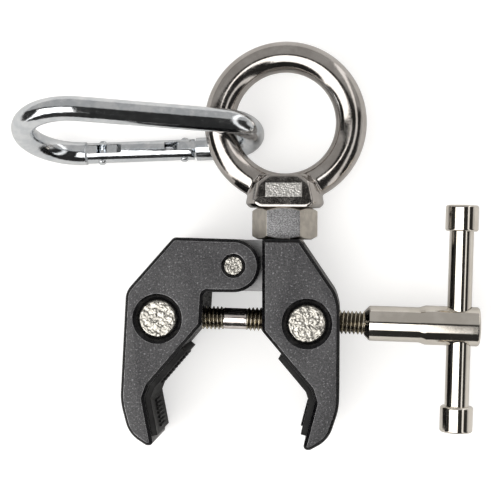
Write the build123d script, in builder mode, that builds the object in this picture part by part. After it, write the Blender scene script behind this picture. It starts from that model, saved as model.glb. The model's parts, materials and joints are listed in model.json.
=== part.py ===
from build123d import *
import os
from math import asin, cos, degrees, radians, sin, tan

# A small two-jaw clamp with a lifting eye and a snap hook, lying on its flat back.
# Millimetres. The origin is on the eye bolt's axis, level with the jaws' hinge, on the flat back.
# +X runs towards the T handle, +Y out along the eye bolt, +Z out of the clamp's front.

# Jaws
jaw_thickness = 22.0  # back to front
jaw_reach = 44.8  # hinge axis to the tip of the fixed jaw
moving_jaw_reach = 45.5
jaw_half_width = 26.0  # hinge axis to the fixed jaw's outer face
crown = 6.5  # hinge axis to the crown that the lock nut sits on
crown_width = 9.2  # flat of the crown
knuckle_radius = 6.5  # rounded end of the moving jaw's two ears
knuckle_gap = 0.5  # ears to the fixed jaw's inner face
edge_chamfer = 0.8  # bevel around every jaw outline
tongue_thickness = 10.0  # middle leaf of the hinge, on the fixed jaw
tongue_side_gap = 0.25  # tongue to each ear
tongue_end_gap = 1.0  # tongue's round end to the bottom of the fork
inner_face = knuckle_radius + knuckle_gap
opening_swing = 3.1  # how far the moving jaw stands open beyond the mirror image of the fixed jaw

# Hinge pin
pin_diameter = 4.8
pin_recess = 0.5  # pin ends below the jaw faces
pin_end_bevel = 0.35
pin_bevel = 0.6  # countersink around each pin end

# Barrel nuts, one across each jaw, both the same distance from the hinge
nut_arm = 22.85  # hinge axis to a barrel nut's axis
fixed_nut_angle = -37.8  # direction from hinge to fixed nut, degrees from +X
moving_nut_angle = -144.9
barrel_diameter = 9.4
barrel_recess = 0.7
barrel_end_bevel = 0.5
barrel_bevel = 1.45
running_fit = 0.05  # radial clearance of everything that turns or slides
seat_fit = 0.02  # radial clearance of pressed and riveted pieces

# Threaded spindle, along the line through both barrel nuts
spindle_diameter = 6.0  # over the thread crests
spindle_end_bevel = 0.8
plain_diameter = 5.3  # unthreaded middle
plain_length = 5.0
plain_shoulder = 0.4  # slope between the threads and the plain middle
spindle_tail = 6.6  # spindle end beyond the moving nut's axis
spindle_spigot = 4.4  # diameter of the end pressed into the handle hub
spigot_length = 12.0
slot_side_gap = 0.6  # spindle to its passage through each jaw, front and back
slot_end_gap = 0.4  # the same, above and below
slot_tilts = (-2.5, 4, 10, 15.5, 20.5)  # the spindle's lean within a jaw as the jaws close

# Handle hub and T bar
hub_start = 14.0  # fixed nut's axis to the hub's inner end
hub_length = 28.6
hub_diameter = 8.8
hub_head_diameter = 9.8
hub_head_length = 13.4
hub_cone = 1.5
hub_lead = 1.3
hub_end_bevel = 0.4
socket_spare = 0.3  # depth of a socket beyond its spigot
bar_diameter = 6.0
bar_length = 56.6  # over both caps
bar_from_hub_end = 5.0  # T bar's axis to the hub's outer end
bar_slid = 1.9  # the bar's centre beyond the spindle axis
bar_play = 0.2  # radial clearance of the bar in the hub
cap_diameter = 8.2
cap_length = 6.5
cap_spigot = 4.2
cap_spigot_length = 4.5
cap_bevel = 0.35

# Lifting eye bolt and its lock nut
eye_offset = 12.0  # hinge axis to the eye bolt's axis
eye_outer_radius = 20.5
eye_wire = 7.8  # diameter of the ring's round section
shank_diameter = 9.5
shank_depth = 9.6  # threaded into the jaw below the crown
collar_diameter = 19.6
collar_top_diameter = 17.6
collar_height = 7.2
ring_lift = 0.9  # ring's lowest point above the collar's seat
collar_edge = 0.9  # bevel at the collar's seat
collar_band = 1.6  # height of the collar's widest part
collar_neck = 1.6  # run of the slope from the collar into the ring
shank_bevel = 0.8
collar_front = 6.9  # flats on the collar, from the eye bolt's axis, at the seat
collar_draft = 4.0  # lean of the flats towards the ring
lock_nut_height = 8.0
lock_nut_flats = 14.3
lock_nut_bevel_angle = 30
lock_nut_land = 0.4  # bevel starts this far inside the flats

# Rubber jaw pads
pad_proud = 1.4
pad_seat = 1.0  # depth of the pad's pocket in the jaw
pad_margin = 1.2  # jaw wall left in front of and behind the pad
pad_start = 7.7  # throat to the pad's upper end, along the mouth
fixed_pad_end = 8.5  # bend to the pad's lower end
moving_pad_end = 9.6
rib_pitch = 1.05
rib_width = 0.55
rib_height = 0.5
rib_band = 7.5  # ribbed strip, front to back

# Snap hook: a pear-shaped ring of round wire, hooked on the eye's wire
hook_wire = 6.0
hook_small_radius = 8.0  # wire centreline around the eye
hook_big_radius = 13.0
hook_span = 36.8  # between the two end arcs' centres
hook_place = 190.0  # where it hangs on the eye, degrees from +X
hook_turn = 2.2  # gate side's turn in plan
hook_lean = 69.3  # the hook's plane above the back plane
hook_drop = 0.5  # small arc's centre behind the middle of the eye's wire
tab_thickness = 2.2
tab_side_gap = 0.15
gate_diameter = 5.4
gate_pivot = 10.4  # rivet's axis from the small arc's centre, along the gate
gate_shoulder_gap = 0.5
latch_place = 32.1  # latch pin's axis, on the same line
latch_gap = 0.15
rivet_diameter = 2.0
rivet_proud = 0.5  # rivet and latch pin beyond the gate, each end
rivet_round = 0.45
nose_length = 8.3  # flattened nose inside the gate
nose_side_gap = 0.27  # nose narrower than the gate, each side
nose_end_gap = 1.2  # nose to the bottom of its slot
notch_flare = 0.9  # latch notch wider at its mouth
hinge_slot_length = 5.0  # slot in the gate beyond the rivet
spring_hole = 2.7
spring_hole_length = 8.6
spring_wire = 0.4
spring_turns = 9
plunger_diameter = 2.2
plunger_bevel = 0.3
plunger_in_hole = 1.6  # plunger's length inside the spring's hole

# Planes that everything is placed from
mid = jaw_thickness / 2
hinge = Plane(origin=(-eye_offset, 0, 0))
hinge_mid = hinge.offset(mid)


def polar_point(radius, angle, centre=(0, 0)):
    x, y = centre
    return (x + radius * cos(radians(angle)), y + radius * sin(radians(angle)))


fixed_nut_at = polar_point(nut_arm, fixed_nut_angle)
moving_nut_at = polar_point(nut_arm, moving_nut_angle)
spindle_tilt = (fixed_nut_angle + moving_nut_angle) / 2 + 90
slot_width = spindle_diameter + 2 * slot_side_gap
slot_height = spindle_diameter + 2 * slot_end_gap
nut_spacing = (Vector(*fixed_nut_at) - Vector(*moving_nut_at)).length
spindle_plane = Plane(
    origin=hinge_mid.from_local_coords(fixed_nut_at),
    x_dir=(cos(radians(spindle_tilt)), sin(radians(spindle_tilt)), 0),
)
spindle_axis = Axis(spindle_plane.origin, spindle_plane.x_dir)


def offset_path(points, distance):
    """The open path through the points, moved sideways to its left by the distance."""
    vectors = [Vector(*p) for p in points]
    moved = []
    for i, v in enumerate(vectors):
        sides = []
        for a, b in zip(vectors[max(i - 1, 0) : i + 1], vectors[max(i, 1) : i + 2]):
            step = (b - a).normalized()
            sides.append(Vector(-step.Y, step.X, 0))
        mean = sum(sides[1:], sides[0]).normalized()
        moved.append(v + mean * (distance / mean.dot(sides[0])))
    return [(v.X, v.Y) for v in moved]


def point_along(a, b, distance):
    step = (Vector(*b) - Vector(*a)).normalized()
    place = Vector(*a) + step * distance
    return (place.X, place.Y)


def swing(point, angle):
    turned = Vector(*point).rotate(Axis.Z, angle)
    return (turned.X, turned.Y)


def mouth(reach):
    """Corners of a jaw's mouth and tip, about the hinge, for the jaw that reaches so far down."""
    return {
        "bend_high": (jaw_half_width - 6.9, -reach + 14.8),
        "bend_low": (jaw_half_width - 5.9, -reach + 11.6),
        "tip_inner": (jaw_half_width - 8.2, -reach + 2.6),
        "tip_end": (jaw_half_width - 8.9, -reach + 0.1),
        "tip_round": (jaw_half_width - 7.1, -reach),
        "tip_outer": (jaw_half_width - 2.6, -reach + 2.5),
        "heel": (jaw_half_width, -reach + 10.4),
    }


def mouth_outline(corners):
    """The corners from the heel round the tip to the bend, with their radii."""
    radii = {
        "heel": 15.0,
        "tip_outer": 7.5,
        "tip_round": 1.2,
        "tip_end": 0.95,
        "tip_inner": 1.0,
        "bend_low": 2.0,
        "bend_high": 1.5,
    }
    return [(corners[name], radius) for name, radius in radii.items()]


fixed_mouth = mouth(jaw_reach)
fixed_throat = (inner_face + 0.1, fixed_nut_at[1] - 1.9)
fixed_outline = [
    ((inner_face, crown), 0),
    ((inner_face + crown_width, crown), 1.2),
    ((jaw_half_width - 0.9, -crown), 8.0),
    ((jaw_half_width, -crown - 3.5), 8.0),
    *mouth_outline(fixed_mouth),
    (fixed_throat, 1.5),
]

# The moving jaw's mouth is the mirror image, swung open
moving_mouth = {
    name: swing((-x, y), -opening_swing) for name, (x, y) in mouth(moving_jaw_reach).items()
}
moving_throat = (-inner_face - 0.8, moving_nut_at[1] - 1.3)
moving_outline = [
    ((0, -knuckle_radius), 0),
    ((-inner_face - 0.4, -knuckle_radius), 1.0),
    (moving_throat, 1.5),
    *mouth_outline(moving_mouth)[::-1],
    ((-jaw_half_width - 0.6, -knuckle_radius), 5.0),
    ((-14.8, crown + 0.4), 1.5),
    ((0, knuckle_radius), 0),
]


def pad_path(throat, corners, lower_run):
    """Runs on the mouth's outline, from below the throat to above the tip."""
    high, low = corners["bend_high"], corners["bend_low"]
    return [point_along(throat, high, pad_start), high, low, point_along(low, corners["tip_inner"], lower_run)]


fixed_pad_path = pad_path(fixed_throat, fixed_mouth, fixed_pad_end)
moving_pad_path = pad_path(moving_throat, moving_mouth, moving_pad_end)


def pad_outline(path, into_mouth, outside, inside):
    """Closed band along the path: outside is proud of the jaw, inside is sunk in it."""
    front = offset_path(path, into_mouth * outside)
    back = offset_path(path, -into_mouth * inside)
    return front + back[::-1]


def cut_spindle_passage(nut_at, lean_sign):
    """Passage through the open jaw for the spindle at every lean it takes."""
    with BuildSketch(hinge_mid) as passage:
        with Locations(nut_at):
            for tilt in slot_tilts:
                Rectangle(2 * jaw_half_width, slot_height, rotation=spindle_tilt + lean_sign * tilt)
    extrude(passage.sketch, amount=slot_width / 2, both=True, mode=Mode.SUBTRACT)


def bevel_outline():
    """Bevel the outline's edges on the front and the back of the open jaw."""
    for face in (faces().sort_by(Axis.Z)[0], faces().sort_by(Axis.Z)[-1]):
        chamfer(face.outer_wire().edges(), edge_chamfer)


def cross_hole(at, diameter, bevel):
    """Hole from back to front through the open jaw, countersunk at both faces."""
    with Locations(hinge.offset(jaw_thickness)):
        with Locations(at):
            Hole(diameter / 2)
    for height in (0, jaw_thickness):
        with BuildSketch(hinge.offset(height)) as mouth:
            with Locations(at):
                Circle(diameter / 2 + bevel)
        inward = 1 if height == 0 else -1
        extrude(mouth.sketch, amount=inward * bevel, taper=45, mode=Mode.SUBTRACT)


def write(piece, name):
    piece.part.label = name
    export_step(piece.part, f"parts/{name}.step")


os.makedirs("parts", exist_ok=True)

# Fixed jaw: one casting with the hinge's middle tongue
with BuildPart() as fixed_jaw:
    with BuildSketch(hinge):
        with BuildLine():
            FilletPolyline(
                *[point for point, _ in fixed_outline],
                radius=[radius for _, radius in fixed_outline],
                close=True,
            )
        make_face()
    extrude(amount=jaw_thickness)
    bevel_outline()
    tongue_radius = knuckle_radius - 0.1
    with BuildSketch(hinge_mid):
        with BuildLine():
            leaf = Polyline(
                (0, tongue_radius),
                (inner_face + 2, tongue_radius),
                (inner_face + 2, -tongue_radius),
                (0, -tongue_radius),
            )
            ThreePointArc(leaf @ 1, (-tongue_radius, 0), leaf @ 0)
        make_face()
    extrude(amount=tongue_thickness / 2, both=True)
    with Locations(hinge_mid.offset(tongue_thickness / 2)):
        Hole(pin_diameter / 2 + running_fit)
    cut_spindle_passage(fixed_nut_at, 1)
    cross_hole(fixed_nut_at, barrel_diameter + 2 * running_fit, barrel_bevel)
    with BuildSketch(hinge.offset(pad_margin)):
        with BuildLine():
            Polyline(*pad_outline(fixed_pad_path, -1, pad_proud, pad_seat), close=True)
        make_face()
    extrude(amount=jaw_thickness - 2 * pad_margin, mode=Mode.SUBTRACT)
    with BuildSketch(Plane(origin=(0, crown, mid), x_dir=(1, 0, 0), z_dir=(0, 1, 0))):
        Circle(shank_diameter / 2 + seat_fit)
    extrude(amount=-shank_depth - 1, mode=Mode.SUBTRACT)
write(fixed_jaw, "fixed_jaw")

# Moving jaw: two ears astride the tongue
with BuildPart() as moving_jaw:
    with BuildSketch(hinge):
        with BuildLine():
            run = FilletPolyline(
                *[point for point, _ in moving_outline],
                radius=[radius for _, radius in moving_outline[1:-1]],
            )
            ThreePointArc(run @ 1, (knuckle_radius, 0), run @ 0)
        make_face()
    extrude(amount=jaw_thickness)
    bevel_outline()
    with BuildSketch(hinge_mid):
        Circle(tongue_radius + tongue_end_gap)
    extrude(amount=tongue_thickness / 2 + tongue_side_gap, both=True, mode=Mode.SUBTRACT)
    cross_hole((0, 0), pin_diameter + 2 * seat_fit, pin_bevel)
    cut_spindle_passage(moving_nut_at, -1)
    cross_hole(moving_nut_at, barrel_diameter + 2 * running_fit, barrel_bevel)
    with BuildSketch(hinge.offset(pad_margin)):
        with BuildLine():
            Polyline(*pad_outline(moving_pad_path, 1, pad_proud, pad_seat), close=True)
        make_face()
    extrude(amount=jaw_thickness - 2 * pad_margin, mode=Mode.SUBTRACT)
write(moving_jaw, "moving_jaw")

# Hinge pin, riveted in the ears
with BuildPart() as pivot_pin:
    with BuildSketch(hinge.offset(pin_recess)):
        Circle(pin_diameter / 2)
    extrude(amount=jaw_thickness - 2 * pin_recess)
    chamfer(edges().filter_by(GeomType.CIRCLE), pin_end_bevel)
write(pivot_pin, "pivot_pin")


# Rubber pads, glued in the mouth's pockets, with ribs across a middle strip
def rib_places(path, into_mouth):
    """Middle and direction of each rib on the pad's two long runs."""
    front = offset_path(path, into_mouth * pad_proud)
    places = []
    for start, end in ((front[0], front[1]), (front[2], front[3])):
        run = Vector(*end) - Vector(*start)
        count = int((run.length - 2 * rib_pitch) / rib_pitch) + 1
        first = (run.length - (count - 1) * rib_pitch) / 2
        for k in range(count):
            places.append((point_along(start, end, first + k * rib_pitch), run.get_angle(Vector(1, 0, 0))))
    return places


def add_pad(path, into_mouth):
    """Pad with its ribs, in the open part."""
    with BuildSketch(hinge.offset(pad_margin)) as band:
        with BuildLine():
            Polyline(*pad_outline(path, into_mouth, pad_proud, pad_seat), close=True)
        make_face()
    extrude(band.sketch, amount=jaw_thickness - 2 * pad_margin)
    with BuildSketch(hinge_mid) as ribs:
        for (x, y), angle in rib_places(path, into_mouth):
            with Locations((x, y)):
                Rectangle(rib_width, 2 * rib_height, rotation=-angle)
    extrude(ribs.sketch, amount=rib_band / 2, both=True)


with BuildPart() as fixed_jaw_pad:
    add_pad(fixed_pad_path, -1)
write(fixed_jaw_pad, "fixed_jaw_pad")

with BuildPart() as moving_jaw_pad:
    add_pad(moving_pad_path, 1)
write(moving_jaw_pad, "moving_jaw_pad")


# Barrel nuts: round bars across the jaws, cross-bored for the spindle
def add_barrel_nut(at):
    """Nut with its axis through the point, in the open part."""
    with BuildSketch(hinge.offset(barrel_recess)) as end:
        with Locations(at):
            Circle(barrel_diameter / 2)
    extrude(end.sketch, amount=jaw_thickness - 2 * barrel_recess)
    chamfer(edges().filter_by(GeomType.CIRCLE), barrel_end_bevel)
    bore_plane = Plane(
        origin=hinge_mid.from_local_coords(at),
        x_dir=(0, 0, 1),
        z_dir=spindle_plane.x_dir,
    )
    with BuildSketch(bore_plane) as bore:
        Circle(spindle_diameter / 2 + running_fit)
    extrude(bore.sketch, amount=barrel_diameter, both=True, mode=Mode.SUBTRACT)


with BuildPart() as fixed_barrel_nut:
    add_barrel_nut(fixed_nut_at)
write(fixed_barrel_nut, "fixed_barrel_nut")

with BuildPart() as moving_barrel_nut:
    add_barrel_nut(moving_nut_at)
write(moving_barrel_nut, "moving_barrel_nut")

# Spindle: opposite-hand threads either side of a plain middle, turned down into the hub
spindle_end = -nut_spacing - spindle_tail
plain_start = -nut_spacing / 2 - plain_length / 2
with BuildPart() as clamp_spindle:
    with BuildSketch(spindle_plane):
        with BuildLine():
            Polyline(
                (spindle_end, 0),
                (spindle_end, spindle_diameter / 2 - spindle_end_bevel),
                (spindle_end + spindle_end_bevel, spindle_diameter / 2),
                (plain_start - plain_shoulder, spindle_diameter / 2),
                (plain_start, plain_diameter / 2),
                (plain_start + plain_length, plain_diameter / 2),
                (plain_start + plain_length + plain_shoulder, spindle_diameter / 2),
                (hub_start, spindle_diameter / 2),
                (hub_start, spindle_spigot / 2),
                (hub_start + spigot_length, spindle_spigot / 2),
                (hub_start + spigot_length, 0),
                close=True,
            )
        make_face()
    revolve(axis=spindle_axis)
write(clamp_spindle, "clamp_spindle")

# Handle hub: bored for the spindle's end and crossed by the T bar
hub_end = hub_start + hub_length
socket_end = hub_start + spigot_length + socket_spare
bar_at = hub_end - bar_from_hub_end
bar_centre = spindle_plane.from_local_coords((bar_at, 0, 0))
bar_plane = Plane(origin=bar_centre, x_dir=spindle_plane.x_dir, z_dir=spindle_plane.y_dir)
with BuildPart() as handle_hub:
    with BuildSketch(spindle_plane):
        with BuildLine():
            Polyline(
                (hub_start, spindle_diameter / 2),
                (hub_start + hub_lead, hub_diameter / 2),
                (hub_end - hub_head_length - hub_cone, hub_diameter / 2),
                (hub_end - hub_head_length, hub_head_diameter / 2),
                (hub_end - hub_end_bevel, hub_head_diameter / 2),
                (hub_end, hub_head_diameter / 2 - hub_end_bevel),
                (hub_end, 0),
                (socket_end, 0),
                (socket_end, spindle_spigot / 2 + seat_fit),
                (hub_start, spindle_spigot / 2 + seat_fit),
                close=True,
            )
        make_face()
    revolve(axis=spindle_axis)
    with BuildSketch(bar_plane):
        Circle(bar_diameter / 2 + bar_play)
    extrude(amount=hub_head_diameter, both=True, mode=Mode.SUBTRACT)
write(handle_hub, "handle_hub")

# T bar with a cap pressed on each end
bar_middle = bar_plane.offset(bar_slid)
rod_half = bar_length / 2 - cap_length
with BuildPart() as t_bar:
    with BuildSketch(bar_middle):
        Circle(bar_diameter / 2)
    extrude(amount=rod_half, both=True)
    with BuildSketch(bar_middle):
        Circle(cap_spigot / 2)
    extrude(amount=rod_half + cap_spigot_length, both=True)
write(t_bar, "t_bar")


def add_cap(seat):
    """Cap standing on the plane at the rod's shoulder."""
    with BuildSketch(seat) as end:
        Circle(cap_diameter / 2)
    extrude(end.sketch, amount=cap_length)
    chamfer(edges().filter_by(GeomType.CIRCLE), cap_bevel)
    with BuildSketch(seat) as socket:
        Circle(cap_spigot / 2 + seat_fit)
    extrude(socket.sketch, amount=cap_spigot_length + socket_spare, mode=Mode.SUBTRACT)


with BuildPart() as t_bar_cap_upper:
    add_cap(bar_middle.offset(rod_half))
write(t_bar_cap_upper, "t_bar_cap_upper")

with BuildPart() as t_bar_cap_lower:
    add_cap(Plane(bar_middle.offset(-rod_half).origin, x_dir=bar_plane.x_dir, z_dir=-bar_plane.z_dir))
write(t_bar_cap_lower, "t_bar_cap_lower")

# Lifting eye bolt: forged ring, necked into a round collar with a threaded shank
collar_seat = crown + lock_nut_height
ring_centre = Vector(0, collar_seat + ring_lift + eye_outer_radius, mid)
ring_radius = eye_outer_radius - eye_wire / 2
collar_top = collar_seat + collar_height
bolt_axis = Axis((0, 0, mid), (0, 1, 0))
with BuildPart() as eye_bolt:
    with BuildSketch(Plane(ring_centre, x_dir=(1, 0, 0), z_dir=(0, -1, 0))):
        with Locations((ring_radius, 0)):
            Circle(eye_wire / 2)
    revolve(axis=Axis(ring_centre, (0, 0, 1)))
    with BuildSketch(Plane.XY.offset(mid)):
        with BuildLine():
            Polyline(
                (0, collar_top + collar_edge),
                (collar_top_diameter / 2 - collar_neck, collar_top + collar_edge),
                (collar_top_diameter / 2, collar_top - collar_edge),
                (collar_diameter / 2, collar_seat + collar_band),
                (collar_diameter / 2, collar_seat + collar_edge),
                (collar_diameter / 2 - collar_edge, collar_seat),
                (shank_diameter / 2, collar_seat),
                (shank_diameter / 2, crown - shank_depth + shank_bevel),
                (shank_diameter / 2 - shank_bevel, crown - shank_depth),
                (0, crown - shank_depth),
                close=True,
            )
        make_face()
    revolve(axis=bolt_axis)
    # the lifting hole stays clear down to the collar
    with BuildSketch(Plane.XY.offset(mid)):
        with Locations((0, ring_centre.Y)):
            Circle(eye_outer_radius - eye_wire)
    extrude(amount=mid, both=True, mode=Mode.SUBTRACT)
    # drafted flats on the collar's front and back
    for side in (1, -1):
        flat = Plane(
            origin=(0, collar_seat, mid + side * collar_front),
            x_dir=(1, 0, 0),
            z_dir=(0, sin(radians(collar_draft)), side * cos(radians(collar_draft))),
        )
        with BuildSketch(flat):
            Rectangle(collar_diameter, 4 * collar_height)
        extrude(amount=mid, mode=Mode.SUBTRACT)
write(eye_bolt, "eye_bolt")

# Hexagon lock nut between the collar and the crown
nut_corner_radius = lock_nut_flats / 2 / cos(radians(30))
bevel_drop = (nut_corner_radius - lock_nut_flats / 2 + lock_nut_land) * tan(radians(lock_nut_bevel_angle))
with BuildPart() as lock_nut:
    with BuildSketch(Plane(origin=(0, crown, mid), x_dir=(1, 0, 0), z_dir=(0, 1, 0))):
        RegularPolygon(lock_nut_flats / 2, 6, major_radius=False)
    extrude(amount=lock_nut_height)
    with BuildSketch(Plane.XY.offset(mid)):
        with BuildLine():
            Polyline(
                (0, crown),
                (lock_nut_flats / 2 - lock_nut_land, crown),
                (nut_corner_radius, crown + bevel_drop),
                (nut_corner_radius, collar_seat - bevel_drop),
                (lock_nut_flats / 2 - lock_nut_land, collar_seat),
                (0, collar_seat),
                close=True,
            )
        make_face()
    revolve(axis=bolt_axis, mode=Mode.INTERSECT)
    with BuildSketch(Plane(origin=(0, crown, mid), x_dir=(1, 0, 0), z_dir=(0, 1, 0))):
        Circle(shank_diameter / 2 + seat_fit)
    extrude(amount=lock_nut_height, mode=Mode.SUBTRACT)
write(lock_nut, "lock_nut")

# Snap hook plane: x along the gate away from the eye, y from the gate to the spine
eye_wire_at = polar_point(ring_radius, hook_place, (ring_centre.X, ring_centre.Y))
along = Vector(-1, 0, 0).rotate(Axis.Z, hook_turn)
beside = Vector(0, 1, 0).rotate(Axis.Z, hook_turn)
rise = beside * cos(radians(hook_lean)) + Vector(0, 0, 1) * sin(radians(hook_lean))
hook_plane = Plane(
    origin=(*eye_wire_at, mid - hook_drop),
    x_dir=along,
    z_dir=along.cross(rise),
)
gate_line = -hook_small_radius
big_centre = (
    (hook_span**2 - (hook_big_radius - hook_small_radius) ** 2) ** 0.5,
    hook_big_radius - hook_small_radius,
)
spine_angle = 2 * degrees(asin((hook_big_radius - hook_small_radius) / hook_span))
small_end = polar_point(hook_small_radius, 90 + spine_angle)
small_end_middle = polar_point(hook_small_radius, 180 + spine_angle / 2)
big_end = polar_point(hook_big_radius, 90 + spine_angle, big_centre)
big_end_middle = polar_point(hook_big_radius, spine_angle / 2, big_centre)
gate_radius = gate_diameter / 2
hook_shoulder = gate_pivot - gate_radius - gate_shoulder_gap
nose_shoulder = big_centre[0] - 0.2

# Snap hook's body: bent wire with a flattened, drilled tab at the hinge and a notched nose
with BuildPart() as carabiner_body:
    with BuildLine(hook_plane):
        Line((hook_shoulder, gate_line), (0, gate_line))
        ThreePointArc((0, gate_line), small_end_middle, small_end)
        Line(small_end, big_end)
        ThreePointArc(big_end, big_end_middle, (big_centre[0], gate_line))
        Line((big_centre[0], gate_line), (nose_shoulder, gate_line))
    start_plane = Plane(
        hook_plane.from_local_coords((hook_shoulder, gate_line, 0)),
        x_dir=hook_plane.z_dir,
        z_dir=-along,
    )
    with BuildSketch(start_plane):
        Circle(hook_wire / 2)
    sweep()
    with BuildSketch(hook_plane):
        with Locations((gate_pivot, gate_line)):
            Circle(gate_radius)
        with Locations(((gate_pivot + hook_shoulder - 1) / 2, gate_line)):
            Rectangle(gate_pivot - hook_shoulder + 1, gate_diameter)
        with Locations((nose_shoulder - nose_length, gate_line)):
            Rectangle(
                nose_length + hook_wire / 10,
                gate_diameter - 2 * nose_side_gap,
                align=(Align.MIN, Align.CENTER),
            )
    extrude(amount=tab_thickness / 2, both=True)
    with BuildSketch(hook_plane.offset(-hook_wire)):
        with Locations((gate_pivot, gate_line)):
            Circle(rivet_diameter / 2 + running_fit)
        with Locations((latch_place, gate_line)):
            Circle(rivet_diameter / 2 + latch_gap)
        with BuildLine():
            Polyline(
                (latch_place - rivet_diameter / 2 - latch_gap, gate_line),
                (latch_place - rivet_diameter / 2 - notch_flare, gate_line + gate_diameter),
                (latch_place + rivet_diameter / 2 + latch_gap, gate_line + gate_diameter),
                (latch_place + rivet_diameter / 2 + latch_gap, gate_line),
                close=True,
            )
        make_face()
    extrude(amount=2 * hook_wire, mode=Mode.SUBTRACT)
write(carabiner_body, "carabiner_body")

# Gate: round bar, slotted at both ends and drilled for its spring
gate_end = nose_shoulder - gate_shoulder_gap
slot_through = tab_thickness + 2 * tab_side_gap
nose_slot_start = nose_shoulder - nose_length - nose_end_gap
spring_seat = gate_pivot + hinge_slot_length
with BuildPart() as carabiner_gate:
    with BuildSketch(
        Plane(
            hook_plane.from_local_coords((gate_pivot - gate_radius, gate_line, 0)),
            x_dir=hook_plane.z_dir,
            z_dir=along,
        )
    ):
        Circle(gate_radius)
    extrude(amount=gate_end - gate_pivot + gate_radius)
    with BuildSketch(hook_plane):
        with Locations((gate_pivot, gate_line)):
            Circle(gate_radius)
            Rectangle(gate_end, gate_diameter, align=(Align.MIN, Align.CENTER))
    extrude(amount=gate_radius, both=True, mode=Mode.INTERSECT)
    with BuildSketch(hook_plane):
        with Locations((gate_pivot - gate_diameter, gate_line)):
            Rectangle(
                spring_seat - gate_pivot + gate_diameter,
                2 * gate_diameter,
                align=(Align.MIN, Align.CENTER),
            )
        with Locations((nose_slot_start, gate_line)):
            Rectangle(2 * gate_diameter, 2 * gate_diameter, align=(Align.MIN, Align.CENTER))
    extrude(amount=slot_through / 2, both=True, mode=Mode.SUBTRACT)
    with BuildSketch(
        Plane(
            hook_plane.from_local_coords((spring_seat, gate_line, 0)),
            x_dir=hook_plane.z_dir,
            z_dir=along,
        )
    ):
        Circle(spring_hole / 2)
    extrude(amount=spring_hole_length, mode=Mode.SUBTRACT)
    with BuildSketch(hook_plane):
        with Locations((gate_pivot, gate_line), (latch_place, gate_line)):
            Circle(rivet_diameter / 2 + seat_fit)
    extrude(amount=gate_diameter, both=True, mode=Mode.SUBTRACT)
write(carabiner_gate, "carabiner_gate")


def add_cross_pin(place):
    """Pin across the gate with rounded ends."""
    with BuildSketch(hook_plane) as section:
        with Locations((place, gate_line)):
            Circle(rivet_diameter / 2)
    extrude(section.sketch, amount=gate_radius + rivet_proud, both=True)
    fillet(edges().filter_by(GeomType.CIRCLE), rivet_round)


with BuildPart() as gate_rivet:
    add_cross_pin(gate_pivot)
write(gate_rivet, "gate_rivet")

with BuildPart() as gate_latch_pin:
    add_cross_pin(latch_place)
write(gate_latch_pin, "gate_latch_pin")

# Plunger and coil spring inside the gate, which press on the hinge tab
plunger_start = gate_pivot + gate_radius + running_fit
plunger_end = spring_seat + plunger_in_hole
with BuildPart() as gate_plunger:
    with BuildSketch(
        Plane(
            hook_plane.from_local_coords((plunger_start, gate_line, 0)),
            x_dir=hook_plane.z_dir,
            z_dir=along,
        )
    ):
        Circle(plunger_diameter / 2)
    extrude(amount=plunger_end - plunger_start)
    chamfer(edges().filter_by(GeomType.CIRCLE), plunger_bevel)
write(gate_plunger, "gate_plunger")

spring_radius = (spring_hole - 2 * running_fit - spring_wire) / 2
spring_start = plunger_end + spring_wire / 2
spring_length = spring_seat + spring_hole_length - spring_wire / 2 - spring_start
spring_foot = hook_plane.from_local_coords((spring_start, gate_line, 0))
with BuildPart() as gate_spring:
    with BuildLine():
        coil = Helix(
            spring_length / spring_turns, spring_length, spring_radius, spring_foot, along
        )
    with BuildSketch(Plane(coil @ 0, z_dir=coil % 0)):
        Circle(spring_wire / 2)
    sweep(path=coil, is_frenet=True)
write(gate_spring, "gate_spring")
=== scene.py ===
import json
from math import cos, degrees, pi, radians, sin

import bmesh
import bpy
from mathutils import Euler, Matrix, Vector, noise


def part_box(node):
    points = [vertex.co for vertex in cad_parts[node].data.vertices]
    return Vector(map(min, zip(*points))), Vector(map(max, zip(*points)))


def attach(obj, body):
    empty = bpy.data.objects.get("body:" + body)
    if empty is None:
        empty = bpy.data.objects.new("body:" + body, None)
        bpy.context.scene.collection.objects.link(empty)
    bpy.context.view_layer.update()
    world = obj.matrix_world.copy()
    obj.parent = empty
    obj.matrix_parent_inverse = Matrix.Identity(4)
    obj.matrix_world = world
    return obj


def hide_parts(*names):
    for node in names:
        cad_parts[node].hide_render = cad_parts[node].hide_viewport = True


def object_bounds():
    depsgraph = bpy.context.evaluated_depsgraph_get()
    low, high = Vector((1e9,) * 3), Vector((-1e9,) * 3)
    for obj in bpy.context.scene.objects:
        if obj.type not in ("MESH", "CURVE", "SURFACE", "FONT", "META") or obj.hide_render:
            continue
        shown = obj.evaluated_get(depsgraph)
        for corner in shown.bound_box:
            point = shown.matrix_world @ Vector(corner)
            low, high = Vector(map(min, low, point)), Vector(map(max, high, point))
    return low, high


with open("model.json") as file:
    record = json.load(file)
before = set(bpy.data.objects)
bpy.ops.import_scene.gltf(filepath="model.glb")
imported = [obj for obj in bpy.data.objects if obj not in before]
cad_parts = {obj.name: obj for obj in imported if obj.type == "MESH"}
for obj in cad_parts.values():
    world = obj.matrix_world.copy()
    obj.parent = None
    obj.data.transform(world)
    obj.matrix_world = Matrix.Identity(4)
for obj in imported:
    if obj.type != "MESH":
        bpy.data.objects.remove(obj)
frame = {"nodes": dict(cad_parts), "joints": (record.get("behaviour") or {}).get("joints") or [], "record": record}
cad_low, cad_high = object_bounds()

# Looks of the beam clamp. Metres, in the CAD frame: the clamp lies on its flat back, eye bolt along +Y,
# T handle towards +X, front faces towards +Z. Lengths are written in millimetres times MM.
MM = 0.001

joints = {j["name"]: j for j in frame["joints"]}
body_of_node = {n: b for b, nodes in frame["record"]["behaviour"]["bodies"].items() for n in nodes}
slot_of_node = {s["node"]: s["material_slot"] for s in frame["record"]["subparts"]}

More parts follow.
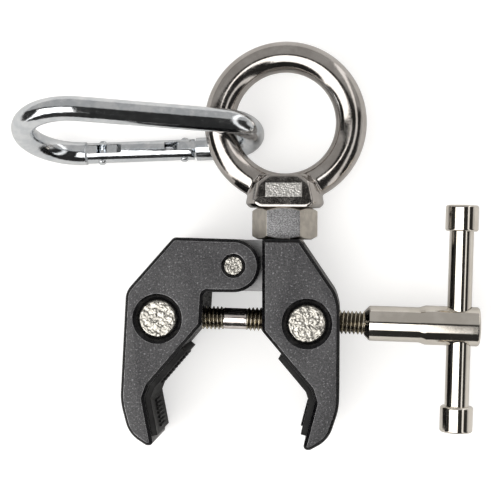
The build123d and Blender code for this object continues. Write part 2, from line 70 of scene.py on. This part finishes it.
fixed_nut_at = Vector(joints["fixed_nut_turn"]["pos_m"])
moving_nut_at = Vector(joints["moving_nut_turn"]["pos_m"])
pin_at = Vector(joints["jaw_hinge"]["pos_m"])
spindle_dir = Vector(joints["spindle_slide"]["axis"]).normalized()
bar_dir = Vector(joints["t_bar_slide"]["axis"]).normalized()


def reach(node, origin, direction):
    """How far the node's vertices lie along a direction from a point: lowest and highest."""
    along = [(v.co - origin).dot(direction) for v in frame["nodes"][node].data.vertices]
    return min(along), max(along)


# ---------------------------------------------------------------- materials
class Paint:
    """A material with a Principled shader, and short ways to add nodes to it."""

    def __init__(self, name, **values):
        self.material = bpy.data.materials.new(name)
        self.material.use_nodes = True
        self.tree = self.material.node_tree
        self.shader = self.tree.nodes["Principled BSDF"]
        self.place = self.add("ShaderNodeTexCoord").outputs["Object"]
        self.set(**values)

    def set(self, **values):
        for name, value in values.items():
            socket = self.shader.inputs[name.replace("_", " ")]
            if hasattr(value, "is_linked"):
                self.tree.links.new(value, socket)
            elif hasattr(value, "__len__"):
                socket.default_value = (*value, 1)
            else:
                socket.default_value = value

    def add(self, kind, inputs=None, **settings):
        node = self.tree.nodes.new(kind)
        for name, value in settings.items():
            setattr(node, name, value)
        for key, value in (inputs or {}).items():
            if hasattr(value, "is_linked"):
                self.tree.links.new(value, node.inputs[key])
            else:
                node.inputs[key].default_value = value
        return node

    def noise(self, size, detail=3.0, roughness=0.55, stretch=(1, 1, 1)):
        """Noise whose blobs are about size metres across, stretched along the axes."""
        mapped = self.add("ShaderNodeMapping", {"Vector": self.place, "Scale": tuple(1 / s for s in stretch)})
        return self.add(
            "ShaderNodeTexNoise",
            {
                "Vector": mapped.outputs[0],
                "Scale": 1 / size,
                "Detail": detail,
                "Roughness": roughness,
            },
        ).outputs["Fac"]

    def spread(self, value, low, high, to_low, to_high):
        """The value's range low..high drawn out smoothly to to_low..to_high."""
        return self.add(
            "ShaderNodeMapRange",
            {"Value": value, "From Min": low, "From Max": high, "To Min": to_low, "To Max": to_high},
            interpolation_type="SMOOTHSTEP",
        ).outputs[0]

    def blend(self, share, low, high):
        """Colour low where share is 0 and high where it is 1."""
        node = self.add("ShaderNodeMix", data_type="RGBA")
        self.tree.links.new(share, node.inputs["Factor"])
        for key, value in ((6, low), (7, high)):
            if hasattr(value, "is_linked"):
                self.tree.links.new(value, node.inputs[key])
            else:
                node.inputs[key].default_value = (*value, 1)
        return node.outputs[2]

    def math(self, operation, a, b):
        return self.add("ShaderNodeMath", {0: a, 1: b}, operation=operation).outputs[0]

    def relief(self, *layers):
        """Bump from (height, depth in metres) layers."""
        normal = None
        for height, depth in layers:
            node = self.add("ShaderNodeBump", {"Height": height, "Distance": depth, "Strength": 1.0})
            if normal is not None:
                self.tree.links.new(normal, node.inputs["Normal"])
            normal = node.outputs[0]
        self.tree.links.new(normal, self.shader.inputs["Normal"])

    def worn(self, radius, low, high):
        """0 on flat ground and 1 along outward edges, from how far the surface curves within the radius."""
        bevel = self.add("ShaderNodeBevel", {"Radius": radius}, samples=4)
        normal = self.add("ShaderNodeNewGeometry").outputs["Normal"]
        dot = self.add("ShaderNodeVectorMath", {0: bevel.outputs[0], 1: normal}, operation="DOT_PRODUCT")
        return self.spread(dot.outputs["Value"], high, low, 0.0, 1.0)


def jaw_grain():
    """Bead-blasted black anodising: fine grey sparkle on near black."""
    p = Paint("jaw_grain", Specular_IOR_Level=0.45)
    grain = p.noise(0.32 * MM, 4.0, 0.75)
    cloud = p.noise(9 * MM, 2.0)
    sparkle = p.spread(p.noise(0.5 * MM, 2.0, 0.6), 0.56, 0.74, 0.0, 1.0)
    dark = p.blend(p.spread(cloud, 0.3, 0.7, 0, 1), (0.01, 0.01, 0.012), (0.016, 0.016, 0.018))
    base = p.blend(p.spread(grain, 0.36, 0.68, 0, 1), dark, (0.06, 0.059, 0.063))
    p.set(
        Base_Color=p.blend(sparkle, base, (0.19, 0.19, 0.2)),
        Roughness=p.spread(grain, 0.3, 0.7, 0.44, 0.3),
    )
    p.relief((grain, 0.05 * MM))
    return p.material


def jaw_gloss():
    """Cut chamfers and walls under the same anodising: smooth, nearly black."""
    p = Paint("jaw_gloss", Specular_IOR_Level=0.22)
    streak = p.noise(0.6 * MM, 3.0, 0.6, (1, 1, 5))
    edge = p.worn(0.12 * MM, 0.86, 0.985)
    black = p.blend(p.spread(streak, 0.3, 0.7, 0, 1), (0.002, 0.002, 0.0025), (0.006, 0.006, 0.007))
    p.set(
        Base_Color=p.blend(edge, black, (0.02, 0.02, 0.022)),
        Roughness=p.spread(streak, 0.3, 0.7, 0.2, 0.34),
    )
    p.relief((streak, 0.012 * MM))
    return p.material


def jaw_edge():
    """Edges rubbed down to the metal: a thin line that shines where it faces the light."""
    p = Paint("jaw_edge", Metallic=0.85)
    rub = p.noise(1.6 * MM, 3.0, 0.6)
    p.set(
        Base_Color=p.blend(p.spread(rub, 0.3, 0.62, 0, 1), (0.1, 0.1, 0.105), (0.34, 0.34, 0.345)),
        Roughness=p.spread(rub, 0.3, 0.7, 0.4, 0.24),
    )
    p.relief((rub, 0.01 * MM))
    return p.material


def tongue_grey():
    """The hinge's machined leaf: thin anodising, lighter than the jaws."""
    p = Paint("tongue_grey", Specular_IOR_Level=0.5, Metallic=0.4)
    lines = p.noise(0.25 * MM, 3.0, 0.6, (6, 1, 1))
    p.set(
        Base_Color=p.blend(p.spread(lines, 0.3, 0.7, 0, 1), (0.2, 0.2, 0.205), (0.32, 0.32, 0.325)),
        Roughness=p.spread(lines, 0.3, 0.7, 0.35, 0.5),
    )
    p.relief((lines, 0.01 * MM))
    return p.material


def pad_rubber():
    p = Paint("pad_rubber", Specular_IOR_Level=0.2)
    fine = p.noise(0.25 * MM, 4.0, 0.7)
    dust = p.spread(p.noise(3 * MM, 3.0), 0.45, 0.75, 0.0, 0.6)
    black = p.blend(fine, (0.003, 0.003, 0.003), (0.008, 0.008, 0.008))
    p.set(
        Base_Color=p.blend(dust, black, (0.016, 0.016, 0.0155)),
        Roughness=p.spread(fine, 0.3, 0.7, 0.42, 0.62),
    )
    p.relief((fine, 0.03 * MM))
    return p.material


def metal(
    name,
    light,
    dark,
    smooth,
    rough,
    cloud_size=4 * MM,
    grain_size=0.3 * MM,
    depth=0.004 * MM,
    stretch=(1, 1, 1),
):
    """Plated or polished metal: clouded colour, uneven gloss and fine marks that may run one way."""
    p = Paint(name, Metallic=1.0)
    cloud = p.noise(cloud_size, 3.0)
    grain = p.noise(grain_size, 4.0, 0.65, stretch)
    edge = p.worn(0.15 * MM, 0.85, 0.985)
    base = p.blend(p.spread(cloud, 0.35, 0.65, 0, 1), dark, light)
    mixed = p.math("ADD", p.math("MULTIPLY", cloud, 0.5), p.math("MULTIPLY", grain, 0.5))
    p.set(
        Base_Color=p.blend(p.math("MULTIPLY", edge, 0.5), base, (0.92, 0.9, 0.87)),
        Roughness=p.spread(mixed, 0.35, 0.65, smooth, rough),
    )
    p.relief((grain, depth))
    return p


def peened_nickel():
    p = metal(
        "peened_nickel",
        (0.62, 0.6, 0.55),
        (0.27, 0.26, 0.235),
        0.16, 0.32, 0.8 * MM, 0.25 * MM, 0.05 * MM,
    )
    return p.material


def spindle_steel():
    """Turned steel with yellowish plating that has thinned to white metal in places, with painted shade making the
    thread roots near black.
    """
    p = metal(
        "spindle_steel",
        (0.78, 0.7, 0.52),
        (0.66, 0.62, 0.55),
        0.14, 0.3, 3 * MM, 0.2 * MM, 0.01 * MM,
    )
    # Thread roots painted near black, crests left in the plated colour: painted shade in the thread's grooves.
    crest = p.add("ShaderNodeAttribute", attribute_name="crest").outputs["Fac"]
    bright = p.shader.inputs["Base Color"].links[0].from_socket
    p.set(Base_Color=p.blend(p.spread(crest, 0.15, 0.8, 0, 1), (0.1, 0.085, 0.06), bright))
    return p.material


def plain_steel():
    """The spindle's plain middle: bright, faintly pink."""
    p = metal(
        "plain_steel",
        (0.86, 0.8, 0.77),
        (0.74, 0.67, 0.64),
        0.12, 0.24, 2 * MM, 0.25 * MM, 0.006 * MM,
    )
    return p.material


def handle_nickel():
    p = metal(
        "handle_nickel",
        (0.79, 0.745, 0.68),
        (0.7, 0.655, 0.59),
        0.05, 0.13, 6 * MM, 0.3 * MM, 0.0015 * MM,
    )
    return p.material


def eye_stainless():
    p = metal(
        "eye_stainless",
        (0.53, 0.5, 0.475),
        (0.44, 0.41, 0.385),
        0.07, 0.17, 5 * MM, 0.5 * MM, 0.008 * MM,
    )
    return p.material


def blasted_stainless(name, dark, light):
    """Shot blasted and speckled steel, for the collar's panels and the lock nut's front and back; on the nut it is
    set darker than the nut's other flats, as painted shade.
    """
    p = Paint(name, Metallic=1.0)
    speck = p.noise(0.28 * MM, 3.0, 0.7)
    base = p.blend(p.spread(speck, 0.35, 0.68, 0, 1), dark, light)
    p.set(Base_Color=base, Roughness=p.spread(speck, 0.3, 0.7, 0.5, 0.32))
    p.relief((speck, 0.07 * MM))
    return p.material


def brushed_stainless_painted_lighter():
    """The lock nut's other flats and its shoulders: the same steel with brushed marks, painted lighter than the
    front and back flats, as painted light.
    """
    p = metal(
        "brushed_stainless_painted_lighter",
        (0.6, 0.56, 0.5),
        (0.48, 0.445, 0.4),
        0.28, 0.4, 2 * MM, 0.2 * MM, 0.012 * MM, (1, 4, 1),
    )
    return p.material


def hook_zinc():
    p = metal(
        "hook_zinc",
        (0.82, 0.84, 0.86),
        (0.68, 0.71, 0.74),
        0.06, 0.17, 2.5 * MM, 0.8 * MM, 0.03 * MM, (2.2, 1, 1),
    )
    return p.material


def spring_steel():
    return metal("spring_steel", (0.5, 0.5, 0.51), (0.4, 0.4, 0.41), 0.2, 0.35).material


def floor_white():
    p = Paint("floor_white", Roughness=0.85)
    seen = p.add("ShaderNodeLightPath").outputs["Is Camera Ray"]
    paper = p.blend(p.noise(60 * MM, 2.0), (0.6, 0.597, 0.59), (0.63, 0.627, 0.62))
    p.set(Base_Color=paper, Emission_Color=(1, 1, 1), Emission_Strength=p.math("MULTIPLY", seen, 0.5))
    return p.material


finishes = {
    "jaw_black": [jaw_grain(), jaw_gloss(), tongue_grey(), jaw_edge()],
    "pad_rubber": [pad_rubber()],
    "peened_nickel": [peened_nickel()],
    "spindle_steel": [spindle_steel(), plain_steel()],
    "handle_nickel": [handle_nickel()],
    "eye_stainless": [
        eye_stainless(),
        blasted_stainless("panel_stainless", (0.34, 0.33, 0.32), (0.82, 0.8, 0.77)),
    ],
    "nut_stainless": [
        # The nut's steel in two copies: darker on the flats facing front and back (painted shade), lighter on the
        # other flats and shoulders (painted light).
        blasted_stainless("nut_stainless", (0.13, 0.13, 0.135), (0.4, 0.4, 0.405)),
        brushed_stainless_painted_lighter(),
    ],
    "hook_zinc": [hook_zinc()],
    "spring_steel": [spring_steel()],
}


# ---------------------------------------------------------------- pieces
def add_piece(name, mesh, node):
    """A piece that rides with the node's body and takes its slot."""
    piece = bpy.data.objects.new(name, mesh)
    bpy.context.scene.collection.objects.link(piece)
    for material in finishes[slot_of_node[node]]:
        mesh.materials.append(material)
    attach(piece, body_of_node[node])
    return piece


def clean_copy(node):
    """The node's mesh, welded, with its flat regions in as few faces as they need."""
    bm = bmesh.new()
    bm.from_mesh(frame["nodes"][node].data)
    bmesh.ops.remove_doubles(bm, verts=bm.verts, dist=0.002 * MM)
    bmesh.ops.dissolve_degenerate(bm, dist=0.001 * MM, edges=bm.edges)
    bmesh.ops.dissolve_limit(bm, angle_limit=radians(0.5), verts=bm.verts, edges=bm.edges)
    return bm


def finish_mesh(bm, name, pick=None):
    for face in bm.faces:
        face.smooth = True
        face.material_index = pick(face) if pick else 0
    mesh = bpy.data.meshes.new(name)
    bm.to_mesh(mesh)
    bm.free()
    return mesh


def round_edges(piece, width, angle=28, segments=3):
    bevel = piece.modifiers.new("rounded_edges", "BEVEL")
    bevel.width = width
    bevel.segments = segments
    bevel.limit_method = "ANGLE"
    bevel.angle_limit = radians(angle)
    bevel.harden_normals = True
    bevel.miter_outer = "MITER_ARC"


def refine(node, width, pick=None, segments=3):
    """A finished copy of a CAD node, with its hard edges rounded."""
    piece = add_piece(node + "_finished", finish_mesh(clean_copy(node), node + "_finished", pick), node)
    round_edges(piece, width, segments=segments)
    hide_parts(node)
    return piece


def flat_front_or_back(face):
    """Grain on the jaws' flat faces, gloss on walls, chamfers and countersinks, bare grey on the tongue."""
    if abs(face.normal.z) < 0.999:
        return 1
    return 2 if abs(face.calc_center_median().z - pin_at.z) < 6 * MM else 0


for node in ("fixed_jaw", "moving_jaw"):
    refine(node, 0.16 * MM, flat_front_or_back).modifiers["rounded_edges"].material = 3

for node in ("fixed_jaw_pad", "moving_jaw_pad"):
    refine(node, 0.12 * MM)

for node in ("pivot_pin", "fixed_barrel_nut", "moving_barrel_nut"):
    refine(node, 0.08 * MM)


# Turned pieces: the CAD node's outer profile, spun finely about its axis
PLACE_STEP = 0.05 * MM  # vertices this close along the axis count as one corner
STRAIGHT = 0.03 * MM  # a corner that stands off its neighbours' line by less is dropped
OUTWARD = 0.05  # least outward lean of a face that belongs to the outside
SIDEWAYS = 0.3  # most sideways lean of a face that belongs to the turned profile


def outline(node, origin, direction):
    """Corners of a turned node's outer profile: (place along the axis, radius)."""
    mesh = frame["nodes"][node].data
    widest = {}
    for face in mesh.polygons:
        spoke = face.center - origin
        spoke = (spoke - direction * spoke.dot(direction)).normalized()
        sideways = face.normal.dot(direction.cross(spoke))
        if face.normal.dot(spoke) < OUTWARD or abs(sideways) > SIDEWAYS:
            continue
        for i in face.vertices:
            away = mesh.vertices[i].co - origin
            along = away.dot(direction)
            radius = (away - direction * along).length
            place = round(along / PLACE_STEP)
            if radius > widest.get(place, (0, 0))[1]:
                widest[place] = (along, radius)
    corners = [Vector(corner) for corner in sorted(widest.values())]
    kept = corners[:1]
    for at, after in zip(corners[1:], corners[2:] + [None]):
        if after is None:
            kept.append(at)
            continue
        run, step = after - kept[-1], at - kept[-1]
        if abs(run.x * step.y - run.y * step.x) / run.length > STRAIGHT:
            kept.append(at)
    return kept


MOST_CUT = 0.35  # a rounded corner takes at most this share of each side
SUPPORT = 0.3  # support point beyond the rounding, as a share of its cut
ROUND_STEPS = 4


def eased(corners, width):
    """The profile with rounded corners, and a point close to both ends of each straight stretch."""
    points = [Vector((corners[0].x, 0)), *corners, Vector((corners[-1].x, 0))]
    line = [points[0]]
    for before, at, after in zip(points, points[1:], points[2:]):
        back, on = before - at, after - at
        start = at + back * min(MOST_CUT, width / back.length)
        stop = at + on * min(MOST_CUT, width / on.length)
        line.append(start + (start - at) * SUPPORT)
        for k in range(ROUND_STEPS + 1):
            t = k / ROUND_STEPS
            line.append(start * (1 - t) ** 2 + at * (2 * t * (1 - t)) + stop * t**2)
        line.append(stop + (stop - at) * SUPPORT)
    return line + [points[-1]]


def turn(node, origin, direction, width, turns=128):
    line = eased(outline(node, origin, direction), width)
    side = direction.orthogonal().normalized()
    up = direction.cross(side)
    bm = bmesh.new()
    rows = []
    for place, radius in line[1:-1]:
        row = []
        for k in range(turns):
            a = 2 * pi * k / turns
            row.append(bm.verts.new(origin + direction * place + (side * cos(a) + up * sin(a)) * radius))
        rows.append(row)
    for near, far in zip(rows, rows[1:]):
        for k in range(turns):
            bm.faces.new([near[k], near[(k + 1) % turns], far[(k + 1) % turns], far[k]])
    bm.faces.new(rows[0])
    bm.faces.new(rows[-1])
    bmesh.ops.recalc_face_normals(bm, faces=bm.faces)
    piece = add_piece(node + "_turned", finish_mesh(bm, node + "_turned"), node)
    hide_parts(node)
    return piece


def bore(piece, origin, direction, radius, length):
    """A round hole through the piece."""
    bm = bmesh.new()
    place = Matrix.Translation(origin) @ direction.to_track_quat("Z", "Y").to_matrix().to_4x4()
    bmesh.ops.create_cone(
        bm, cap_ends=True, segments=96, radius1=radius, radius2=radius, depth=length, matrix=place
    )
    cutter = bpy.data.objects.new("cutter", finish_mesh(bm, "cutter"))
    bpy.context.scene.collection.objects.link(cutter)
    cut = piece.modifiers.new("bore", "BOOLEAN")
    cut.operation = "DIFFERENCE"
    cut.object = cutter
    bored = bpy.data.meshes.new_from_object(piece.evaluated_get(bpy.context.evaluated_depsgraph_get()))
    piece.modifiers.clear()
    bored.set_sharp_from_angle(angle=radians(35))
    piece.data = bored
    bpy.data.objects.remove(cutter)


BORE_PLAY = 0.15 * MM  # radial gap between the bar and the hub's visible bore
BORE_LENGTH = 40 * MM  # longer than the hub is wide
bar_low, bar_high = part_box("t_bar")
bar_at = (Vector(bar_low) + Vector(bar_high)) / 2
bar_radius = (bar_high.z - bar_low.z) / 2
hub = turn("handle_hub", fixed_nut_at, spindle_dir, 0.25 * MM)
bore(hub, bar_at, bar_dir, bar_radius + BORE_PLAY, BORE_LENGTH)
turn("t_bar", bar_at, bar_dir, 0.1 * MM)
for node in ("t_bar_cap_upper", "t_bar_cap_lower"):
    turn(node, bar_at, bar_dir, 0.25 * MM)

# Flats facing front and back take the darker copy of the nut's steel, and the other flats, shoulders and rounded
# edges take the lighter copy: painted shade and painted light on one steel.
nut = refine("lock_nut", 0.16 * MM, lambda face: 0 if abs(face.normal.z) > 0.99 else 1)
nut.modifiers["rounded_edges"].material = 1
refine("carabiner_body", 0.15 * MM)
refine("carabiner_gate", 0.12 * MM)
for node in ("gate_rivet", "gate_latch_pin", "gate_plunger"):
    refine(node, 0.05 * MM)


# Hammered ends of the pin and the barrel nuts
END_INSET = 0.06 * MM  # cap's rim inside the bar's
DENT_SIZE = 0.75 * MM
SHOULDER = 0.9  # share of the radius where the shoulder starts to fall
SKIRT_DEPTH = 0.7 * MM


def hammered_end(name, node, centre, outward):
    """A dimpled, round-shouldered cap over one end of a round bar that lies along Z."""
    low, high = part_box(node)
    radius = (high.x - low.x) / 2 - END_INSET
    face = high.z if outward > 0 else low.z
    rings, turns = 30, 96
    bm = bmesh.new()
    rows = []
    for i in range(rings + 1):
        share = i / rings
        r = radius * sin(share * pi / 2) ** 0.9
        shoulder = max(0.0, (r / radius - SHOULDER) / (1 - SHOULDER))
        row = []
        for k in range(turns):
            a = 2 * pi * k / turns
            x, y = centre.x + r * cos(a), centre.y + r * sin(a)
            spot = Vector((x, y, face)) / DENT_SIZE
            cell = noise.voronoi(spot)[0]
            dents = 0.26 * (cell[1] - cell[0])
            dents = dents + 0.14 * noise.noise(spot * 0.6) + 0.06 * noise.noise(spot * 2.7)
            height = (0.08 + dents * (1 - shoulder**2) - 0.3 * shoulder**2) * MM
            row.append(bm.verts.new((x, y, face + outward * height)))
            if i == 0:
                row = row * turns
                break
        rows.append(row)
    skirt = [bm.verts.new((v.co.x, v.co.y, face - outward * SKIRT_DEPTH)) for v in rows[-1]]
    rows.append(skirt)
    for inner, outer in zip(rows, rows[1:]):
        for k in range(turns):
            corners = [inner[k], outer[k], outer[(k + 1) % turns], inner[(k + 1) % turns]]
            bm.faces.new(list(dict.fromkeys(corners)))
    bm.faces.new(skirt)
    bmesh.ops.recalc_face_normals(bm, faces=bm.faces)
    return add_piece(name, finish_mesh(bm, name), node)


for node, centre in (
    ("pivot_pin", pin_at),
    ("fixed_barrel_nut", fixed_nut_at),
    ("moving_barrel_nut", moving_nut_at),
):
    hammered_end(node + "_front_end", node, centre, 1)
    hammered_end(node + "_back_end", node, centre, -1)


# Spindle with a left-hand and a right-hand thread
PITCH = 1.0 * MM
CREST = 2.98 * MM
ROOT = CREST - 0.61 * PITCH
PLAIN = 2.65 * MM
PLAIN_HALF = 2.5 * MM
RUNOUT = 1.2 * MM
END_BEVEL = 0.8 * MM
SPIGOT = 2.2 * MM  # radius of the end inside the hub


def thread_depth(turn):
    """0 at the root and 1 at the crest, for a place given in turns."""
    away = abs(2 * (turn % 1.0) - 1)
    return min(1.0, max(0.0, (away - 0.22) / 0.64))


def spindle_radius(x, around, start, middle):
    from_middle = abs(x - middle)
    threaded = min(1.0, max(0.0, (from_middle - PLAIN_HALF) / RUNOUT))
    hand = 1 if x < middle else -1
    cut = ROOT + (CREST - ROOT) * thread_depth(x / PITCH - hand * around / (2 * pi))
    r = PLAIN + (cut - PLAIN) * threaded
    return min(r, CREST - END_BEVEL + (x - start))


def make_spindle():
    start, tip = reach("clamp_spindle", fixed_nut_at, spindle_dir)
    end = reach("handle_hub", fixed_nut_at, spindle_dir)[0]
    middle = (moving_nut_at - fixed_nut_at).dot(spindle_dir) / 2
    up = Vector((0, 0, 1))
    side = up.cross(spindle_dir).normalized()
    turns, steps_per_pitch = 72, 16
    count = round((end - start) / PITCH * steps_per_pitch)
    bm = bmesh.new()
    rows = []
    for i in range(count + 1):
        x = start + (end - start) * i / count
        row = []
        for k in range(turns):
            a = 2 * pi * k / turns
            r = spindle_radius(x, a, start, middle)
            row.append(bm.verts.new(fixed_nut_at + spindle_dir * x + side * (r * cos(a)) + up * (r * sin(a))))
        rows.append(row)
    for x in (end, tip):
        rows.append(
            [
                bm.verts.new(
                    fixed_nut_at
                    + spindle_dir * x
                    + side * (SPIGOT * cos(2 * pi * k / turns))
                    + up * (SPIGOT * sin(2 * pi * k / turns))
                )
                for k in range(turns)
            ]
        )
    for near, far in zip(rows, rows[1:]):
        for k in range(turns):
            bm.faces.new([near[k], near[(k + 1) % turns], far[(k + 1) % turns], far[k]])
    bm.faces.new(rows[0])
    bm.faces.new(rows[-1])
    bmesh.ops.recalc_face_normals(bm, faces=bm.faces)

    def pick(face):
        x = (face.calc_center_median() - fixed_nut_at).dot(spindle_dir)
        return 1 if abs(x - middle) < PLAIN_HALF + 0.3 * RUNOUT else 0

    mesh = finish_mesh(bm, "threaded_spindle", pick)
    # Each point's height out of the thread root, 0 at the root and 1 at the crest; the spindle material paints
    # shade into the roots from it.
    crest = mesh.attributes.new("crest", "FLOAT", "POINT")
    for vertex, value in zip(mesh.vertices, crest.data):
        away = vertex.co - fixed_nut_at
        across = (away - spindle_dir * away.dot(spindle_dir)).length
        value.value = (across - ROOT) / (CREST - ROOT)
    piece = add_piece("threaded_spindle", mesh, "clamp_spindle")
    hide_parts("clamp_spindle")


make_spindle()


# Eye bolt: the CAD shape forged together, so that its inside corners are round
def make_eye_bolt():
    bm = clean_copy("eye_bolt")
    piece = add_piece("forged_eye_bolt", finish_mesh(bm, "forged_eye_bolt"), "eye_bolt")
    remesh = piece.modifiers.new("forged", "REMESH")
    remesh.mode = "VOXEL"
    remesh.voxel_size = 0.25 * MM
    remesh.use_smooth_shade = True
    relax = piece.modifiers.new("polished", "SMOOTH")
    relax.factor = 0.5
    relax.iterations = 5
    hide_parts("eye_bolt")


make_eye_bolt()

PANEL_HALF_WIDTH = 4.9 * MM
PANEL_HALF_HEIGHT = 2.15 * MM
PANEL_CELL = 0.1 * MM
PANEL_RIM = 0.5 * MM  # width of the slope round the panel's edge
PANEL_SKIRT = 0.5 * MM  # walls below that edge
PEBBLE_SIZE = 0.55 * MM
collar_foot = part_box("lock_nut")[1].y
panel_y = collar_foot + 4.3 * MM
collar_top = collar_foot + 8 * MM


def make_pebbled_panel(name, side):
    """A pebbled patch on one of the collar's two flats, front (1) or back (-1)."""
    mesh = frame["nodes"]["eye_bolt"].data
    drafted = [f for f in mesh.polygons if f.normal.z * side > 0.99 and f.normal.y > 0.04]
    flat = max(drafted, key=lambda f: f.area if f.center.y < collar_top else 0)
    normal = flat.normal.copy()
    up = normal.cross(Vector((1, 0, 0)))
    up *= 1 if up.y > 0 else -1
    centre = flat.center + up * ((panel_y - flat.center.y) / up.y)
    centre.x = 0
    half_width, half_height = PANEL_HALF_WIDTH, PANEL_HALF_HEIGHT
    columns = round(2 * half_width / PANEL_CELL)
    rows = round(2 * half_height / PANEL_CELL)
    bm = bmesh.new()
    grid = []
    for i in range(rows + 1):
        v = -half_height + 2 * half_height * i / rows
        line = []
        for j in range(columns + 1):
            u = -half_width + 2 * half_width * j / columns
            inside = min(half_width - abs(u), half_height - abs(v))
            rim = min(1.0, max(0.0, inside / PANEL_RIM))
            spot = Vector((u, v, side)) / PEBBLE_SIZE
            cell_walls = noise.voronoi(spot)[0]
            pebble = 0.22 * (cell_walls[1] - cell_walls[0]) + 0.1 * noise.noise(spot * 1.7)
            lift = (rim * (0.1 + pebble) - 0.35 * (1 - rim)) * MM
            line.append(bm.verts.new(centre + Vector((u, 0, 0)) + up * v + normal * lift))
        grid.append(line)
    for low, high in zip(grid, grid[1:]):
        for j in range(columns):
            bm.faces.new([low[j], low[j + 1], high[j + 1], high[j]])
    edge = [e for e in bm.edges if e.is_boundary]
    walls = bmesh.ops.extrude_edge_only(bm, edges=edge)["geom"]
    for vertex in walls:
        if isinstance(vertex, bmesh.types.BMVert):
            vertex.co -= normal * PANEL_SKIRT
    bmesh.ops.holes_fill(bm, edges=[e for e in bm.edges if e.is_boundary])
    bmesh.ops.recalc_face_normals(bm, faces=bm.faces)
    add_piece(name, finish_mesh(bm, name, lambda face: 1), "eye_bolt")


make_pebbled_panel("collar_panel_front", 1)
make_pebbled_panel("collar_panel_back", -1)

# The gate's spring keeps its CAD shape
spring = frame["nodes"]["gate_spring"]
spring.data.materials.clear()
spring.data.materials.append(finishes["spring_steel"][0])


# ---------------------------------------------------------------- floor, light and camera
def make_floor():
    bm = bmesh.new()
    bmesh.ops.create_grid(bm, x_segments=8, y_segments=8, size=2.0)
    mesh = bpy.data.meshes.new("floor")
    bm.to_mesh(mesh)
    bm.free()
    floor = bpy.data.objects.new("floor", mesh)
    floor.location.z = cad_low.z - 0.02 * MM
    mesh.materials.append(floor_white())
    bpy.context.scene.collection.objects.link(floor)


def make_world():
    """A dark studio: a broad light overhead to the left, a pale far wall and a strip on the right.

    Camera rays see a plain pale backdrop, and diffuse rays get an even fill.
    """
    world = bpy.data.worlds.new("studio")
    bpy.context.scene.world = world
    world.use_nodes = True
    tree = world.node_tree
    links = tree.links
    background = tree.nodes["Background"]

    def add(kind, inputs=None, **settings):
        node = tree.nodes.new(kind)
        for name, value in settings.items():
            setattr(node, name, value)
        for key, value in (inputs or {}).items():
            if hasattr(value, "is_linked"):
                links.new(value, node.inputs[key])
            else:
                node.inputs[key].default_value = value
        return node.outputs[0]

    def math(operation, a, b=0.0):
        return add("ShaderNodeMath", {0: a, 1: b}, operation=operation)

    def step(value, at, soft):
        return add(
            "ShaderNodeMapRange",
            {"Value": value, "From Min": at - soft, "From Max": at + soft, "To Min": 0.0, "To Max": 1.0},
            interpolation_type="SMOOTHSTEP",
        )

    def band(value, low, high, soft, low_soft=None):
        below = math("SUBTRACT", 1.0, step(value, high, soft))
        return math("MULTIPLY", step(value, low, low_soft or soft), below)

    direction = add("ShaderNodeSeparateXYZ", {0: add("ShaderNodeTexCoord")}).node
    x, y = direction.outputs["X"], direction.outputs["Y"]
    east = math("MULTIPLY", math("ARCSINE", x), degrees(1))
    north = math("MULTIPLY", math("ARCSINE", y), degrees(1))
    panels = [
        (math("MULTIPLY", band(east, -53, 4.5, 1.5, 4), band(north, -39, 4.2, 1.5, 4)), 3.0),
        (math("MULTIPLY", band(east, 34, 46, 2), band(north, -60, 60, 6)), 1.1),
        (step(north, 15, 3), 0.42),
        (step(east, 74, 4), 0.6),
    ]
    total = 0.03
    for share, strength in panels:
        total = math("ADD", math("MULTIPLY", share, strength), total)
    rays = tree.nodes.new("ShaderNodeLightPath").outputs
    total = math("ADD", total, math("MULTIPLY", rays["Is Diffuse Ray"], 0.55))
    green = math("MULTIPLY", total, 0.985)
    blue = math("MULTIPLY", total, 0.965)
    warm = add("ShaderNodeCombineColor", {0: total, 1: green, 2: blue})
    pale = add(
        "ShaderNodeMix", {0: rays["Is Camera Ray"], 6: warm, 7: (0.93, 0.93, 0.93, 1)}, data_type="RGBA"
    ).node.outputs[2]
    links.new(pale, background.inputs["Color"])


def make_camera():
    data = bpy.data.cameras.new("camera")
    camera = bpy.data.objects.new("camera", data)
    data.sensor_width = 36
    data.lens = 86.05
    data.clip_start = 10 * MM
    data.clip_end = 10
    camera.location = Vector((14.6, 6.5, 307.8)) * MM
    camera.rotation_euler = Euler((radians(-0.30), radians(4.70), radians(0.32)), "XYZ")
    bpy.context.scene.collection.objects.link(camera)
    bpy.context.scene.camera = camera


make_floor()
make_world()
make_camera()
bpy.context.scene.view_settings.view_transform = "Standard"
